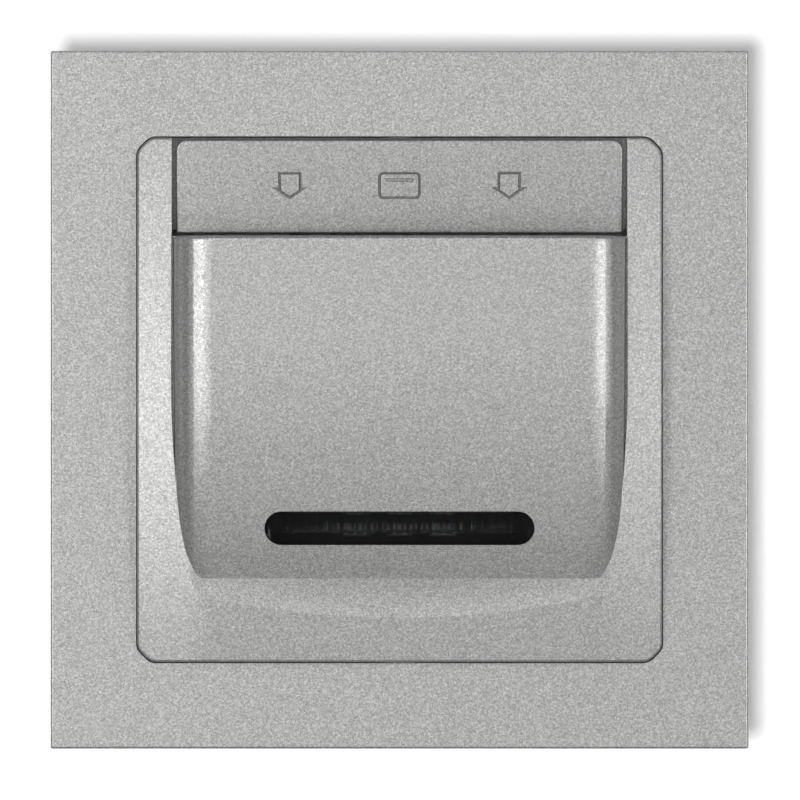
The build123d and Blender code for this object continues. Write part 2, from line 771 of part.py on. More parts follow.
def mechanism_lid():
    outline = fillet(Rectangle(lid_width, lid_height).vertices(), lid_corner_round)
    lid = wall_prism(outline, 0, lid_stand)
    inner = lid_width / 2 - lid_wall
    lid -= block(-inner, inner, -overrun, lid_stand - lid_wall, board_recess_foot_z, board_recess_top_z)
    lip_half = board_recess_width / 2 - fit_gap
    low, high = board_recess_foot_z + fit_gap, board_recess_top_z - fit_gap
    for side in (-1, 1):
        near, far = sorted((side * (lip_half - lid_lip_wall), side * lip_half))
        lid += block(near, far, -lid_lip_depth, lid_stand - lid_wall, low, high)
    through = (-overrun, lid_stand + overrun)
    lid -= block(-lid_window_half, lid_window_half, *through, lid_window_foot_z, lid_window_top_z)
    for place in (-led_spread, 0, led_spread):
        reach, rise = led_half_width + fit_gap, led_half_height + fit_gap
        lid -= block(place - reach, place + reach, *through, window_z - rise, window_z + rise)
    for side in (-1, 1):
        lid += ear(side)
        x = side * lid_screw_spread / 2
        lid -= peg(x, lid_screw_z, lid_screw_radius + running_gap, *through)
    return lid


def ear(side):
    """Bearing ear of the lever pin, standing on the lid beside the window."""
    inner, outer = sorted((side * ear_inner_half, side * (ear_inner_half + ear_thickness)))
    low, high = pivot_z - ear_radius, pivot_z + ear_radius
    cheek = cross_pin(inner, outer, pivot_stand, pivot_z, ear_radius)
    cheek += block(inner, outer, lid_stand - fit_gap, pivot_stand, low, high)
    bore = pin_radius + running_gap
    return cheek - cross_pin(inner - overrun, outer + overrun, pivot_stand, pivot_z, bore)


def lever_pin():
    reach = ear_inner_half + ear_thickness
    return cross_pin(-reach, reach, pivot_stand, pivot_z, pin_radius)


def lever_outline():
    """Side view of the lever as stand and height, from the boss down the arm and round the nose."""
    top = pivot_z
    foot = lever_arm_foot_z
    front_top = pivot_stand + lever_arm_thickness / 2
    front_foot = front_top - lever_arm_lean
    back_top = front_top - lever_arm_thickness
    back_foot = front_foot - lever_arm_thickness
    pad_back = back_foot - pad_depth
    pad_low, pad_high = pad_z - pad_half_height, pad_z + pad_half_height
    nose_base = card_plane_stand(nose_top_z, guide_back) - motion_gap
    tip = card_plane_stand(nose_tip_z, nose_height)
    points = [(front_top, top), (nose_base, nose_top_z), (tip, nose_tip_z)]
    points += [(tip, nose_tip_z - nose_tip_round), (front_foot, foot), (back_foot, foot)]
    points += [(back_foot, pad_low), (pad_back, pad_low), (pad_back, pad_high)]
    points += [(back_top, pad_high), (back_top, top)]
    return points, pad_back


def card_lever():
    points, pad_back = lever_outline()
    profile = make_face(Polyline(*[(0, -stand, z) for stand, z in points], close=True))
    lever = extrude(profile, nose_half_width, both=True)
    lever += cross_pin(-lever_half_width, lever_half_width, pivot_stand, pivot_z, lever_boss_radius)
    reach = lever_half_width + overrun
    return lever - cross_pin(-reach, reach, pivot_stand, pivot_z, pin_radius + running_gap)


def arm_back_stand(z):
    """Stand of the back of the lever's arm at a height."""
    top = pivot_stand - lever_arm_thickness / 2
    return top - lever_arm_lean * (pivot_z - z) / (pivot_z - lever_arm_foot_z)


def lever_spring():
    """Coil spring that stands on the switch case and pushes the lever's arm out of the wall."""
    length = case_front_depth + arm_back_stand(spring_z) - 2 * (spring_wire_radius + running_gap)
    coil = Helix(length / spring_turns, length, spring_coil_radius)
    section = RegularPolygon(spring_wire_radius, spring_wire_sides)
    wire = sweep(Plane(coil @ 0, z_dir=coil % 0) * section, path=coil, is_frenet=True)
    foot = case_front_depth - spring_wire_radius - running_gap
    return Pos(0, foot, spring_z) * Rot(X=90) * wire


def blade_heights():
    """Heights of the blades that leave the back of the switch case: common, working, resting."""
    inner_top = case_top_z - case_wall
    inner_foot = case_foot_z + case_wall
    working = contact_z - contact_radius - terminal_thickness / 2
    return inner_foot + terminal_thickness / 2, working, inner_top - terminal_thickness / 2


def terminal_blade(z, depth_from):
    """Flat blade from inside the switch case out through its back."""
    half = terminal_thickness / 2
    end = case_back_depth + terminal_reach
    return block(-terminal_half_width, terminal_half_width, -end, -depth_from, z - half, z + half)


def switch_case():
    half = case_half_width
    case = block(-half, half, -case_back_depth, -case_front_depth, case_foot_z, case_top_z)
    inner_half = case_half_width - case_wall
    near, far = case_front_depth + case_wall, case_back_depth - case_wall
    low, high = case_foot_z + case_wall, case_top_z - case_wall
    case -= block(-inner_half, case_half_width + overrun, -far, -near, low, high)
    half_x, half_z = plunger_half_width + running_gap, plunger_half_height + running_gap
    front = overrun - case_front_depth
    case -= block(-half_x, half_x, -near - overrun, front, pad_z - half_z, pad_z + half_z)
    half_x, half_z = terminal_half_width + running_gap, terminal_thickness / 2 + running_gap
    for z in blade_heights():
        case -= block(-half_x, half_x, -case_back_depth - overrun, -far + overrun, z - half_z, z + half_z)
    return case


def switch_case_cover():
    gap = fit_gap / 2
    inner = case_half_width - case_wall + gap
    near, far = case_front_depth + case_wall + gap, case_back_depth - case_wall - gap
    low, high = case_foot_z + case_wall + gap, case_top_z - case_wall - gap
    return block(inner, case_half_width, -far, -near, low, high)


def switch_plunger():
    pad_back = lever_outline()[1]
    stem = block(
        -plunger_half_width,
        plunger_half_width,
        -(blade_depth - motion_gap),
        pad_back - fit_gap,
        pad_z - plunger_half_height,
        pad_z + plunger_half_height,
    )
    return fillet(stem.edges().filter_by(Axis.X), plunger_half_height / 2)


def contact_arm():
    """Moving blade with its knuckle below and a contact button on each face above."""
    middle = blade_depth + blade_thickness / 2
    half = blade_half_width
    arm = block(-half, half, -blade_depth - blade_thickness, -blade_depth, blade_pivot_z, blade_top_z)
    arm += cross_pin(-half, half, -middle, blade_pivot_z, blade_knuckle_radius)
    button = blade_thickness / 2 + contact_height
    return arm + peg(0, contact_z, contact_radius, -middle - button, -middle + button)


def fixed_contacts():
    """Cradle of the moving blade, resting contact before it and working contact behind it."""
    common_z, working_z, resting_z = blade_heights()
    middle = blade_depth + blade_thickness / 2
    half = terminal_thickness / 2
    cradle_half = blade_knuckle_radius + terminal_thickness
    cradle = terminal_blade(common_z, middle - cradle_half)
    width = (-blade_half_width, blade_half_width)
    cradle += block(*width, -middle - cradle_half, -middle + cradle_half, common_z, blade_pivot_z)
    bearing = blade_knuckle_radius + running_gap
    cradle -= cross_pin(*[side * case_half_width for side in (-1, 1)], -middle, blade_pivot_z, bearing)
    inner_far = case_back_depth - case_wall
    face = inner_far - terminal_thickness - contact_height
    working = terminal_blade(working_z, inner_far - terminal_thickness)
    strip = (-terminal_half_width, terminal_half_width)
    top = contact_z + contact_radius
    working += block(*strip, -inner_far, terminal_thickness - inner_far, working_z - half, top)
    working += peg(0, contact_z, contact_radius, -inner_far, -face)
    stop = blade_depth - contact_height - fit_gap
    front = stop - contact_height - terminal_thickness
    resting = terminal_blade(resting_z, front)
    foot = contact_z - contact_radius
    resting += block(*strip, -front - terminal_thickness, -front, foot, resting_z + half)
    resting += peg(0, contact_z, contact_radius, -stop, -front)
    return Compound([cradle, working, resting])


def bus_bars():
    """Bent strips from the blades of the snap switch to three of the terminals."""
    common_z, working_z, resting_z = blade_heights()
    near = case_back_depth + fit_gap
    bars = []
    for blade_z, side, level in ((common_z, -1, -1), (working_z, 1, 1), (resting_z, -1, 1)):
        clamp_x = side * (terminal_x - clamp_width / 2)
        turn_x = side * (well_width / 2 + bus_thickness)
        route = [(side * terminal_half_width, blade_z), (turn_x, blade_z)]
        route += [(turn_x, level * terminal_z), (clamp_x, level * terminal_z)]
        band = trace(Polyline(*route), bus_thickness)
        band -= Pos(side * (terminal_half_width - overrun), blade_z) * Rectangle(2 * overrun, 2 * overrun)
        band -= Pos(clamp_x + side * overrun, level * terminal_z) * Rectangle(2 * overrun, 2 * overrun)
        bars.append(wall_prism(band, -near - bus_width, -near).solid())
    return Compound(bars)


def circuit_board():
    """Small board with two pins that reach back to the live and neutral terminals."""
    half = board_width / 2
    back = board_recess_depth
    board = block(-half, half, -back, board_thickness - back, board_foot_z, board_top_z)
    clamp_front = clamp_mid_depth - clamp_depth / 2
    for side in (-1, 1):
        board += peg(side * board_pin_x, board_pin_z, board_pin_radius, -clamp_front, -back)
    return board


def indicator_leds():
    base = board_thickness - board_recess_depth
    foot, top = window_z - led_half_height, window_z + led_half_height
    lights = []
    for place in (-led_spread, 0, led_spread):
        reach = (place - led_half_width, place + led_half_width)
        light = block(*reach, base, led_front_stand, foot, top)
        lights.append(fillet(light.edges().group_by(Axis.Y)[0], led_edge_round))
    return Compound([light.solid() for light in lights])


def board_parts():
    stand = board_thickness - board_recess_depth + resistor_radius
    half = resistor_length / 2
    parts = [
        cross_pin(x - half, x + half, stand, window_z, resistor_radius).solid()
        for x in (-resistor_x, resistor_x)
    ]
    return Compound(parts)


def terminal_clamps():
    clamps = []
    for x, z, level in terminal_places():
        near, far = clamp_mid_depth - clamp_depth / 2, clamp_mid_depth + clamp_depth / 2
        half_x, half_z = clamp_width / 2, clamp_height / 2
        clamp = block(x - half_x, x + half_x, -far, -near, z - half_z, z + half_z)
        mouth = clamp_mouth / 2
        clamp -= block(x - mouth, x + mouth, -far - overrun, -near - clamp_wall, z - mouth, z + mouth)
        screw_half = half_z + overrun
        place = Pos(x, clamp_mid_depth, z + level * screw_half / 2)
        clamp -= place * Cylinder(clamp_screw_radius + running_gap, screw_half)
        clamps.append(clamp.solid())
    return Compound(clamps)


def terminal_screws():
    screws = []
    for x, z, level in terminal_places():
        seat = z + level * clamp_height / 2
        tip = z + level * clamp_wire_room
        shaft = Pos(x, clamp_mid_depth, (seat + tip) / 2) * Cylinder(clamp_screw_radius, abs(seat - tip))
        head_middle = seat + level * clamp_screw_head_height / 2
        head = Cylinder(clamp_screw_head_radius, clamp_screw_head_height)
        screws.append((shaft + Pos(x, clamp_mid_depth, head_middle) * head).solid())
    return Compound(screws)


def body_screws():
    screws = []
    for side in (-1, 1):
        for level in (-1, 1):
            x, z = side * body_screw_spread_x / 2, level * body_screw_spread_z / 2
            tip = plate_thickness - body_screw_length + fit_gap
            seat = plate_thickness
            shaft = peg(x, z, body_screw_radius - running_gap, tip, seat)
            head = peg(x, z, body_screw_head_radius, seat, seat + body_screw_head_height)
            screws.append((shaft + head).solid())
    return Compound(screws)


def lid_screws():
    screws = []
    for side in (-1, 1):
        x = side * lid_screw_spread / 2
        seat = lid_stand
        tip = seat - lid_screw_length + fit_gap
        shaft = peg(x, lid_screw_z, lid_screw_radius - running_gap, tip, seat)
        head = peg(x, lid_screw_z, lid_screw_head_radius, seat, seat + lid_screw_head_height)
        screws.append((shaft + head).solid())
    return Compound(screws)


def claw(side):
    """Bent steel claw: knuckle, toothed arm along the housing and forked lug round the screw."""
    inner = claw_pivot_x - claw_thickness / 2
    outer = claw_pivot_x + claw_thickness / 2
    points = [(inner, claw_pivot_depth), (inner, claw_front_depth), (outer, claw_front_depth)]
    for index in range(claw_tooth_count):
        root = claw_front_depth + index * claw_tooth_pitch
        points += [(outer + claw_tooth, root), (outer, root + claw_tooth_pitch)]
    points.append((outer, claw_pivot_depth))
    arm = make_face(Polyline(*points, close=True))
    lug_length = claw_arm + claw_fork_reach
    lug = Pos(claw_pivot_x - lug_length / 2, claw_pivot_depth) * Rectangle(lug_length, claw_thickness)
    knuckle = Pos(claw_pivot_x, claw_pivot_depth) * Circle(claw_pin_radius + claw_eye_wall)
    eye = Pos(claw_pivot_x, claw_pivot_depth) * Circle(claw_pin_radius + running_gap)
    profile = arm + lug + knuckle - eye
    shape = extrude(profile, claw_half_width, both=True)
    slot_half = claw_screw_radius + motion_gap
    slot_end = claw_screw_x + claw_screw_radius + claw_fork_play
    slot_start = claw_screw_x - claw_fork_reach - overrun
    shape -= block(slot_start, slot_end, -claw_recess_depth, -claw_front_depth, -slot_half, slot_half)
    return shape if side > 0 else mirror(shape, Plane.YZ)


def claw_screw(side):
    x = side * claw_screw_x
    seat = plate_thickness + running_gap
    tail = -claw_recess_depth - claw_screw_tail
    screw = peg(x, 0, claw_screw_radius, tail, seat)
    screw += peg(x, 0, claw_head_radius, seat, seat + claw_head_height)
    groove_half = claw_head_slot / 2
    reach = claw_head_radius + overrun
    groove = (seat + claw_head_height / 2, seat + claw_head_height + overrun)
    screw -= block(x - groove_half, x + groove_half, *groove, -reach, reach)
    return screw - block(x - reach, x + reach, *groove, -groove_half, groove_half)


def claw_nut(side):
    """Square nut whose rounded front bears on the lug, so that the lug can tilt on it."""
    x = side * claw_screw_x
    middle = claw_pivot_depth + claw_thickness / 2 + nut_gap + nut_saddle_radius
    half, rise = nut_half_width, claw_half_width
    nut = block(x - half, x + half, -middle - nut_thickness, -middle, -rise, rise)
    nut += Pos(x, middle, 0) * Cylinder(nut_saddle_radius, 2 * rise)
    bore = claw_screw_radius + running_gap
    return nut - peg(x, 0, bore, -middle - nut_thickness - overrun, overrun)


def claw_pins():
    half = claw_half_width + motion_gap + claw_pin_seat - fit_gap
    pins = [
        (Pos(side * claw_pivot_x, claw_pivot_depth, 0) * Cylinder(claw_pin_radius, 2 * half)).solid()
        for side in (-1, 1)
    ]
    return Compound(pins)


def build():
    """Every piece of the switch under the name of its file."""
    return {
        "outer_frame": outer_frame(),
        "card_pocket_cover": card_pocket_cover(),
        "header_plate": header_plate(),
        "window_lens": window_lens(),
        "light_guide": light_guide(),
        "indicator_leds": indicator_leds(),
        "card_guide": card_guide(),
        "support_plate": support_plate(),
        "mechanism_body": mechanism_body(),
        "mechanism_lid": mechanism_lid(),
        "card_lever": card_lever(),
        "lever_pin": lever_pin(),
        "lever_spring": lever_spring(),
        "switch_case": switch_case(),
        "switch_case_cover": switch_case_cover(),
        "switch_plunger": switch_plunger(),
        "contact_arm": contact_arm(),
        "fixed_contacts": fixed_contacts(),
        "circuit_board": circuit_board(),
        "board_parts": board_parts(),
        "bus_bars": bus_bars(),
        "terminal_clamps": terminal_clamps(),
        "terminal_screws": terminal_screws(),
        "body_screws": body_screws(),
        "lid_screws": lid_screws(),
        "claw_left": claw(-1),
        "claw_right": claw(1),
        "claw_screw_left": claw_screw(-1),
        "claw_screw_right": claw_screw(1),
        "claw_nut_left": claw_nut(-1),
        "claw_nut_right": claw_nut(1),
        "claw_pins": claw_pins(),
    }


def main():
    os.makedirs("parts", exist_ok=True)
    for name, shape in build().items():
        export_step(shape, os.path.join("parts", name + ".step"))


main()
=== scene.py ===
import json
from math import cos, pi, radians, sin

import bmesh
import bpy
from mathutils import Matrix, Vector
from mathutils.bvhtree import BVHTree
from mathutils.geometry import barycentric_transform


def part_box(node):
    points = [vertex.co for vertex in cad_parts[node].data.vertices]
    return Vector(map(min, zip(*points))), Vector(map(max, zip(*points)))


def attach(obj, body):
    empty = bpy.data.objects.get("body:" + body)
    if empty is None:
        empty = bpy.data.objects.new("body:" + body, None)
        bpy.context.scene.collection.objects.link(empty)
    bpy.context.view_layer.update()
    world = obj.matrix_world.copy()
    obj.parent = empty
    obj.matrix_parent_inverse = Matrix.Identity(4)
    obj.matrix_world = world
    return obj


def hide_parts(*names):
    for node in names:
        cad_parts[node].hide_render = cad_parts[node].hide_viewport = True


# Hotel key card switch: paint, plastics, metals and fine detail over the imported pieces.
# Blender works in metres: the object's sizes are millimetres times MM, the studio's are plain metres.
MM = 0.001

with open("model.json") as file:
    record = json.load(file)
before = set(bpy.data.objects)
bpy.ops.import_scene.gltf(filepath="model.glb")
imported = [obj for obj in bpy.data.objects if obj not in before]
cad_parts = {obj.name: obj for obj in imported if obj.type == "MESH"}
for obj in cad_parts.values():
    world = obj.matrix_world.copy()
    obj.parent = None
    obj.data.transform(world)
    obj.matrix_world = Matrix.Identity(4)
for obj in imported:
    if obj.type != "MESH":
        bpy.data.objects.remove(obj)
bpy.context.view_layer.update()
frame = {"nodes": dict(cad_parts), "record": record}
nodes = frame["nodes"]

# Camera: long lens, square to the frame
CAMERA_LENS = 500.0
CAMERA_SENSOR = 36.0
CAMERA_CLIP = (0.01, 100)
VIEW_WIDTH = 97.42 * MM
VIEW_CENTRE_X = 0.06 * MM
VIEW_CENTRE_Z = -0.03 * MM

# Studio: softboxes in a ring round the object's front, by azimuth, elevation and brightness
SOFTBOX_SIZE = 0.35
SOFTBOX_DISTANCE = 1.2
SOFTBOXES = {
    "left_softbox": (-22, 0, 4.3),
    "left_edge": (-30, 0, 2.0),
    "right_softbox": (30, 0, 5.2),
    "right_edge": (50, 0, 0.65),
    "high_fill": (0, 25, 2.5),
    "low_fill": (0, -25, 0.8),
}

# Room: dim on the object's front side, bright behind it, with a soft edge between the two
ROOM_BRIGHTNESS = 0.18
WALL_BRIGHTNESS = 1.0
ROOM_EDGE = (-0.1, 0.5)

# Backdrop and floor of pale paper, and the small lamp that gives the backdrop its shadow
BACKDROP_DISTANCE = 1.9
BACKDROP_SHADE = 0.2
BACKDROP_LAMP_RADIUS = 2.5 * MM
BACKDROP_LAMP_ASIDE = 2.5 * MM
BACKDROP_BRIGHTNESS = 1.1e6
FLOOR_Z = -0.3
FLOOR_FRONT = 0.05
FLOOR_HALF = 1.2
PAPER_TONE = 0.85
PAPER_FIBRE = 20 * MM

# Silver paint: flakes, the clouds that they gather in and the satin skin over them
PAINT_SHADE = 0.55
# Header plate: a slightly darker copy of the silver paint, painted shade on the plate
HEADER_PAINTED_SHADE = 0.52
# Sign grooves: a much darker copy of the silver paint, painted shade in the grooves
GROOVE_PAINTED_SHADE = 0.26
PAINT_BLUE_SHARE = 0.99
PAINT_METAL = 0.85
FLAKE = 0.17 * MM
CLOUD = 0.14 * MM
SKIN_PATCH = 0.3 * MM
SKIN_PEEL = 0.25 * MM
SKIN_PEEL_DEPTH = 0.012 * MM

# Bare black plastic behind the paint, as a share of the paint's own brightness
BARE_SHARE = 0.08
PAINT_EDGE = (0.1, 0.3)

# Plastics: patches of tone, grain of the mould, waves and sheen of the clear ones
PLASTIC_PATCH = 2.5 * MM
PLASTIC_MOTTLE = 0.06
MOULD_GRAIN = 0.12 * MM
CLEAR_PATCH = 1.8 * MM
CLEAR_SHEEN_PATCH = 0.6 * MM
CLEAR_WAVE = 1.2 * MM
CLEAR_WAVE_DEPTH = 0.002 * MM
SMOKED_BENDING = 1.3
CLEAR_BENDING = 1.49

# Metals: patches of tone and the lines that drawing and stamping leave
METAL_PATCH = 1.6 * MM
METAL_MOTTLE = 0.1
DRAWN_LINE = 0.25 * MM
DRAWN_LINE_DEPTH = 0.004 * MM
DRAWN_STRETCH = 0.05

# Lights, board and resistors
RESIN_PATCH = 0.7 * MM
RESIN_GLOW_DEPTH = 1.0 * MM
SMALL_SHEEN_PATCH = 0.3 * MM
BOARD_SHEEN_PATCH = 0.4 * MM
TRACK_PITCH = 2.0 * MM
TRACK_WIDTH_SHARE = 0.08
TRACK_HEIGHT = 0.02 * MM
RESISTOR_RING = 0.25 * MM
RESISTOR_RING_SHARE = 0.35

# Signs cut into the header plate
ARROW_X = 13.35 * MM
SIGN_TOP = 27.61 * MM
SIGN_FOOT = 24.57 * MM
ARROW_SHOULDER = 25.73 * MM
ARROW_STEM_HALF = 1.28 * MM
ARROW_HEAD_HALF = 1.70 * MM
CARD_SIGN_HALF = 2.45 * MM
CARD_SIGN_CORNER = 0.45 * MM
CARD_CORNER_STEPS = 4
CARD_STRIPE_Z = 26.75 * MM
STRIPE_HALF_LENGTH = 1.6 * MM
STRIPE_HALF_WIDTH = 0.09 * MM

# Grooves of the signs: moves outward and heights over the plate, as shares of the depth
GROOVE_DEPTH = 0.3 * MM
WIDE_GROOVE_SHARES = [(0.5, 2), (0.5, 0), (0.4, -1), (-0.3, -1), (-0.6, 0), (-0.6, 2)]
FINE_GROOVE_SHARES = [(0.3, 2), (0.3, 0), (0.2, -1), (0, -1), (-0.1, 2)]

# Screws: sides and steps, heads as shares of head height and radius, threads as shares of the pitch
SCREW_SIDES = 32
HELIX_STEPS = 14
THREAD_PITCH = 0.5 * MM
RIM_HEIGHT_SHARE = 0.7
CROWN_RADIUS_SHARE = 0.86
SLOT_LENGTH_SHARE = 1.25
SLOT_DEPTH_SHARE = 0.55
THREAD_DEPTH_SHARE = 0.45
THREAD_HALF_SHARE = 0.44
THREAD_START_SHARE = 0.5

# Meshes: points that count as one, faces that lie on one surface, edges that stay sharp in degrees
SAME_PLACE = 0.001 * MM
SAME_FACING = 0.999
PLATE_SHARP_ANGLE = 30
SIGN_SHARP_ANGLE = 12
SCREW_SHARP_ANGLE = 35


def link(tree, source, target):
    tree.links.new(source, target)


def calculate(tree, operation, first, second):
    """Sum, product or other result of two sockets or plain numbers."""
    node = tree.nodes.new("ShaderNodeMath")
    node.operation = operation
    for socket, value in zip(node.inputs, (first, second)):
        if isinstance(value, bpy.types.NodeSocket):
            link(tree, value, socket)
        else:
            socket.default_value = value
    return node.outputs["Value"]


def times(tree, first, second):
    return calculate(tree, "MULTIPLY", first, second)


def less(tree, first, second):
    return calculate(tree, "SUBTRACT", first, second)


def new_material(name):
    """Empty principled material with its tree and its shader."""
    material = bpy.data.materials.new(name)
    material.use_nodes = True
    tree = material.node_tree
    return material, tree, tree.nodes["Principled BSDF"]


def object_coordinates(tree, scale=(1, 1, 1)):
    coordinates = tree.nodes.new("ShaderNodeTexCoord")
    mapping = tree.nodes.new("ShaderNodeMapping")
    mapping.inputs["Scale"].default_value = scale
    link(tree, coordinates.outputs["Object"], mapping.inputs["Vector"])
    return mapping.outputs["Vector"]


def noise(tree, vector, grain, detail=2.0, rough=0.5):
    """Noise whose lumps are about one grain across."""
    texture = tree.nodes.new("ShaderNodeTexNoise")
    texture.inputs["Scale"].default_value = 1 / grain
    texture.inputs["Detail"].default_value = detail
    texture.inputs["Roughness"].default_value = rough
    link(tree, vector, texture.inputs["Vector"])
    return texture.outputs["Fac"]


def spread(tree, value, low, high, start=0.3, stop=0.7):
    """Stretches the middle of a noise over a new range."""
    node = tree.nodes.new("ShaderNodeMapRange")
    node.inputs["From Min"].default_value = start
    node.inputs["From Max"].default_value = stop
    node.inputs["To Min"].default_value = low
    node.inputs["To Max"].default_value = high
    link(tree, value, node.inputs["Value"])
    return node.outputs["Result"]


def around(tree, value, middle, reach):
    """Noise stretched evenly to both sides of a middle value."""
    return spread(tree, value, middle - reach, middle + reach)


def tint(tree, colour, factor):
    """Colour made lighter and darker by a factor round one."""
    node = tree.nodes.new("ShaderNodeVectorMath")
    node.operation = "SCALE"
    node.inputs[0].default_value = colour
    link(tree, factor, node.inputs["Scale"])
    return node.outputs["Vector"]


def bump(tree, shader, height, depth):
    node = tree.nodes.new("ShaderNodeBump")
    node.inputs["Strength"].default_value = 1.0
    node.inputs["Distance"].default_value = depth
    link(tree, height, node.inputs["Height"])
    link(tree, node.outputs["Normal"], shader.inputs["Normal"])


def two_shaders(tree, choice, first, second, output):
    """Mix that shows the first shader where the choice is zero and the second where it is one."""
    mix = tree.nodes.new("ShaderNodeMixShader")
    link(tree, choice, mix.inputs[0])
    link(tree, first, mix.inputs[1])
    link(tree, second, mix.inputs[2])
    link(tree, mix.outputs["Shader"], tree.nodes[output].inputs["Surface"])


def painted_share(tree):
    """One where a face looks out into the room, nearly zero on the bare inside that faces the wall."""
    coordinates = tree.nodes.new("ShaderNodeTexCoord")
    parts = tree.nodes.new("ShaderNodeSeparateXYZ")
    link(tree, coordinates.outputs["Normal"], parts.inputs["Vector"])
    return spread(tree, parts.outputs["Y"], 1.0, BARE_SHARE, *PAINT_EDGE)


def silver_paint(name, shade):
    """Silver metallic paint: fine flakes that catch the light one by one under a satin skin."""
    material, tree, shader = new_material(name)
    vector = object_coordinates(tree)
    flakes = tree.nodes.new("ShaderNodeTexVoronoi")
    flakes.inputs["Scale"].default_value = 1 / FLAKE
    link(tree, vector, flakes.inputs["Vector"])
    grey = tree.nodes.new("ShaderNodeSeparateColor")
    link(tree, flakes.outputs["Color"], grey.inputs["Color"])
    flake_tone = spread(tree, grey.outputs["Red"], low=0.76, high=1.24, start=0, stop=1)
    cloud_tone = spread(tree, noise(tree, vector, CLOUD), low=0.7, high=1.3)
    tone = times(tree, times(tree, flake_tone, cloud_tone), painted_share(tree))
    colour = (shade, shade, shade * PAINT_BLUE_SHARE)
    link(tree, tint(tree, colour, tone), shader.inputs["Base Color"])
    shader.inputs["Metallic"].default_value = PAINT_METAL
    roughness = spread(tree, noise(tree, vector, SKIN_PATCH), low=0.38, high=0.46)
    link(tree, roughness, shader.inputs["Roughness"])
    bump(tree, shader, noise(tree, vector, SKIN_PEEL), SKIN_PEEL_DEPTH)
    return material


def moulded_plastic(name, colour, roughness, depth):
    """Moulded plastic with the grain of its tool and a faint unevenness of colour."""
    material, tree, shader = new_material(name)
    vector = object_coordinates(tree)
    tone = around(tree, noise(tree, vector, PLASTIC_PATCH, detail=4), 1, PLASTIC_MOTTLE)
    link(tree, tint(tree, colour, tone), shader.inputs["Base Color"])
    grain = noise(tree, vector, MOULD_GRAIN, detail=3, rough=0.6)
    link(tree, around(tree, grain, roughness, 0.06), shader.inputs["Roughness"])
    bump(tree, shader, grain, depth)
    return material


def clear_moulding(name, colour, roughness, see_through, bending):
    """Clear or smoked plastic, faintly wavy, that lets the lamps through to what is behind it."""
    material, tree, shader = new_material(name)
    vector = object_coordinates(tree)
    tone = spread(tree, noise(tree, vector, CLEAR_PATCH), low=0.94, high=1.06)
    link(tree, tint(tree, colour, tone), shader.inputs["Base Color"])
    shader.inputs["Transmission Weight"].default_value = 1.0
    shader.inputs["IOR"].default_value = bending
    sheen = noise(tree, vector, CLEAR_SHEEN_PATCH)
    link(tree, spread(tree, sheen, roughness, roughness + 0.03), shader.inputs["Roughness"])
    bump(tree, shader, noise(tree, vector, CLEAR_WAVE), CLEAR_WAVE_DEPTH)
    clear = tree.nodes.new("ShaderNodeBsdfTransparent")
    clear.inputs["Color"].default_value = (*see_through, 1)
    shadow = tree.nodes.new("ShaderNodeLightPath").outputs["Is Shadow Ray"]
    two_shaders(tree, shadow, shader.outputs["BSDF"], clear.outputs["BSDF"], "Material Output")
    return material


def worked_metal(name, colour, roughness, draw):
    """Plated or bare metal with drawing lines along one axis and soft patches of tone."""
    material, tree, shader = new_material(name)
    vector = object_coordinates(tree)
    lines = noise(tree, object_coordinates(tree, draw), DRAWN_LINE, detail=4, rough=0.6)
    tone = around(tree, noise(tree, vector, METAL_PATCH, detail=3), 1, METAL_MOTTLE)
    link(tree, tint(tree, colour, tone), shader.inputs["Base Color"])
    shader.inputs["Metallic"].default_value = 1.0
    link(tree, spread(tree, lines, roughness - 0.08, roughness + 0.1), shader.inputs["Roughness"])
    bump(tree, shader, lines, DRAWN_LINE_DEPTH)
    return material


def led_resin(name):
    """Milky resin of the lights, in which the light spreads a little."""
    material, tree, shader = new_material(name)
    vector = object_coordinates(tree)
    tone = spread(tree, noise(tree, vector, RESIN_PATCH), low=0.92, high=1.08)
    link(tree, tint(tree, (0.8, 0.82, 0.78), tone), shader.inputs["Base Color"])
    shader.inputs["Subsurface Weight"].default_value = 0.3
    shader.inputs["Subsurface Scale"].default_value = RESIN_GLOW_DEPTH
    sheen = noise(tree, vector, SMALL_SHEEN_PATCH)
    link(tree, spread(tree, sheen, low=0.2, high=0.3), shader.inputs["Roughness"])
    return material


def circuit_board(name):
    """Green solder mask over copper tracks that run level and upright."""
    material, tree, shader = new_material(name)
    vector = object_coordinates(tree)
    tracks = tree.nodes.new("ShaderNodeTexBrick")
    turned = tree.nodes.new("ShaderNodeMapping")
    turned.inputs["Rotation"].default_value = (radians(90), 0, 0)
    link(tree, vector, turned.inputs["Vector"])
    link(tree, turned.outputs["Vector"], tracks.inputs["Vector"])
    tracks.inputs["Scale"].default_value = 1 / TRACK_PITCH
    tracks.inputs["Mortar Size"].default_value = TRACK_WIDTH_SHARE
    tracks.inputs["Color1"].default_value = (0.03, 0.17, 0.07, 1)
    tracks.inputs["Color2"].default_value = (0.035, 0.19, 0.08, 1)
    tracks.inputs["Mortar"].default_value = (0.08, 0.3, 0.12, 1)
    link(tree, tracks.outputs["Color"], shader.inputs["Base Color"])
    sheen = noise(tree, vector, BOARD_SHEEN_PATCH)
    link(tree, spread(tree, sheen, low=0.25, high=0.35), shader.inputs["Roughness"])
    bump(tree, shader, tracks.outputs["Fac"], -TRACK_HEIGHT)
    return material


